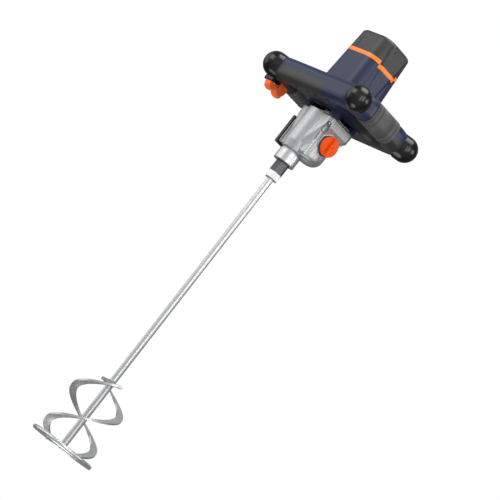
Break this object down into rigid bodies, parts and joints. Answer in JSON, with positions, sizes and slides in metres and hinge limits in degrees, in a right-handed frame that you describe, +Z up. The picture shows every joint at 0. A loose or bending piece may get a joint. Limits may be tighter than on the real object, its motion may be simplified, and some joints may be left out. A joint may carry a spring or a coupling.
{
  "type": "mixing drill",
  "caption": "Hand-held mixing drill: handle frame around an upright motor, gearbox with speed selector, long shaft and helical stirring paddle on a ring.",
  "frame": {"origin": "foot of the paddle on the spindle axis: the centre of the shaft's lower end face", "axes": "+Z up the spindle axis to the motor, +X from the trigger grip to the other grip, -Y towards the front arm"},
  "size_m": [0.282, 0.192, 0.882],
  "materials": {
    "zinc_steel": "bright zinc plating",
    "black_steel": "black oxide",
    "gear_steel": "ground",
    "lamination_steel": "stamped",
    "screw_steel": "zinc plated",
    "cast_aluminium": "die cast, blasted",
    "turned_aluminium": "turned",
    "navy_plastic": "moulded, fine grain",
    "dark_plastic": "moulded, fine grain",
    "orange_plastic": "moulded",
    "bumper_rubber": "smooth, slightly glossy",
    "grip_rubber": "ribbed soft cover",
    "copper": "enamelled or bare copper",
    "carbon": "pressed carbon"
  },
  "bodies": {
    "tool": {"gearbox_case": "cast_aluminium", "gearbox_screws": "screw_steel", "neck_collar": "turned_aluminium", "spindle_bearing": "gear_steel", "spindle_seal": "grip_rubber", "side_cover": "dark_plastic", "selector_base": "dark_plastic", "bearing_plate": "cast_aluminium", "motor_bearing": "gear_steel", "motor_housing": "navy_plastic", "orange_band": "orange_plastic", "rear_cap": "dark_plastic", "cap_screws": "screw_steel", "bearing_bracket": "dark_plastic", "top_motor_bearing": "gear_steel", "stator_core": "lamination_steel", "field_coils": "copper", "carbon_brushes": "carbon", "brush_holders": "copper", "brush_springs": "gear_steel", "bumper_front_left": "bumper_rubber", "bumper_front_right": "bumper_rubber", "bumper_rear_left": "bumper_rubber", "bumper_rear_right": "bumper_rubber", "bumper_screws": "screw_steel", "handle_screws": "screw_steel", "handle_upper_shell": "navy_plastic", "handle_lower_shell": "navy_plastic", "trigger_handle_shell": "dark_plastic", "right_grip_sleeve": "grip_rubber", "left_grip_sleeve": "grip_rubber", "switch_body": "dark_plastic", "cable_gland": "grip_rubber", "trigger_spring": "gear_steel"},
    "spindle": {"paddle_ring": "zinc_steel", "paddle_shaft": "zinc_steel", "ring_spoke": "zinc_steel", "top_bar": "zinc_steel", "helix_blade_a": "zinc_steel", "helix_blade_b": "zinc_steel", "lock_nut": "zinc_steel", "output_spindle": "black_steel", "spindle_sleeve": "gear_steel", "gear_spacer": "gear_steel", "spindle_circlip": "gear_steel", "low_gear": "gear_steel", "high_gear": "gear_steel"},
    "intermediate": {"intermediate_shaft": "gear_steel", "first_stage_gear": "gear_steel"},
    "cluster": {"shift_cluster": "gear_steel"},
    "armature": {"armature_shaft": "gear_steel", "armature_core": "lamination_steel", "armature_windings": "copper", "commutator": "copper", "cooling_fan": "dark_plastic"},
    "selector": {"selector_shaft": "gear_steel", "selector_knob": "orange_plastic"},
    "trigger": {"trigger": "orange_plastic"},
    "lock": {"lock_button": "orange_plastic"}
  },
  "joints": [
    {"name": "spindle_spin", "type": "hinge", "parent": "tool", "child": "spindle", "pos_m": [0, 0, 0.617], "axis": [0, 0, 1], "continuous": true},
    {"name": "intermediate_spin", "type": "hinge", "parent": "tool", "child": "intermediate", "pos_m": [0.01998, 0.01503, 0.68], "axis": [0, 0, 1], "continuous": true},
    {"name": "armature_spin", "type": "hinge", "parent": "tool", "child": "armature", "pos_m": [0, 0.0215, 0.78], "axis": [0, 0, 1], "continuous": true},
    {"name": "selector_turn", "type": "hinge", "parent": "tool", "child": "selector", "pos_m": [0.045, 0.01753, 0.671], "axis": [-1, 0, 0], "range_deg": [0, 120]},
    {"name": "cluster_shift", "type": "slide", "parent": "intermediate", "child": "cluster", "axis": [0, 0, 1], "range_m": [0, 0.0087]},
    {"name": "trigger_pull", "type": "slide", "parent": "tool", "child": "trigger", "axis": [0, 0, 1], "range_m": [0, 0.006], "stiffness_N_per_m": 400, "springref_m": -0.004, "deforming": ["trigger_spring"]},
    {"name": "lock_press", "type": "slide", "parent": "tool", "child": "lock", "axis": [-1, 0, 0], "range_m": [0, 0.002], "stiffness_N_per_m": 400, "springref_m": -0.002}
  ],
  "couplings": [
    {"joint": "intermediate_spin", "follows": "spindle_spin", "ratio": -3},
    {"joint": "armature_spin", "follows": "spindle_spin", "ratio": 21},
    {"joint": "cluster_shift", "follows": "selector_turn", "m_per_rad": 0.004135}
  ]
}
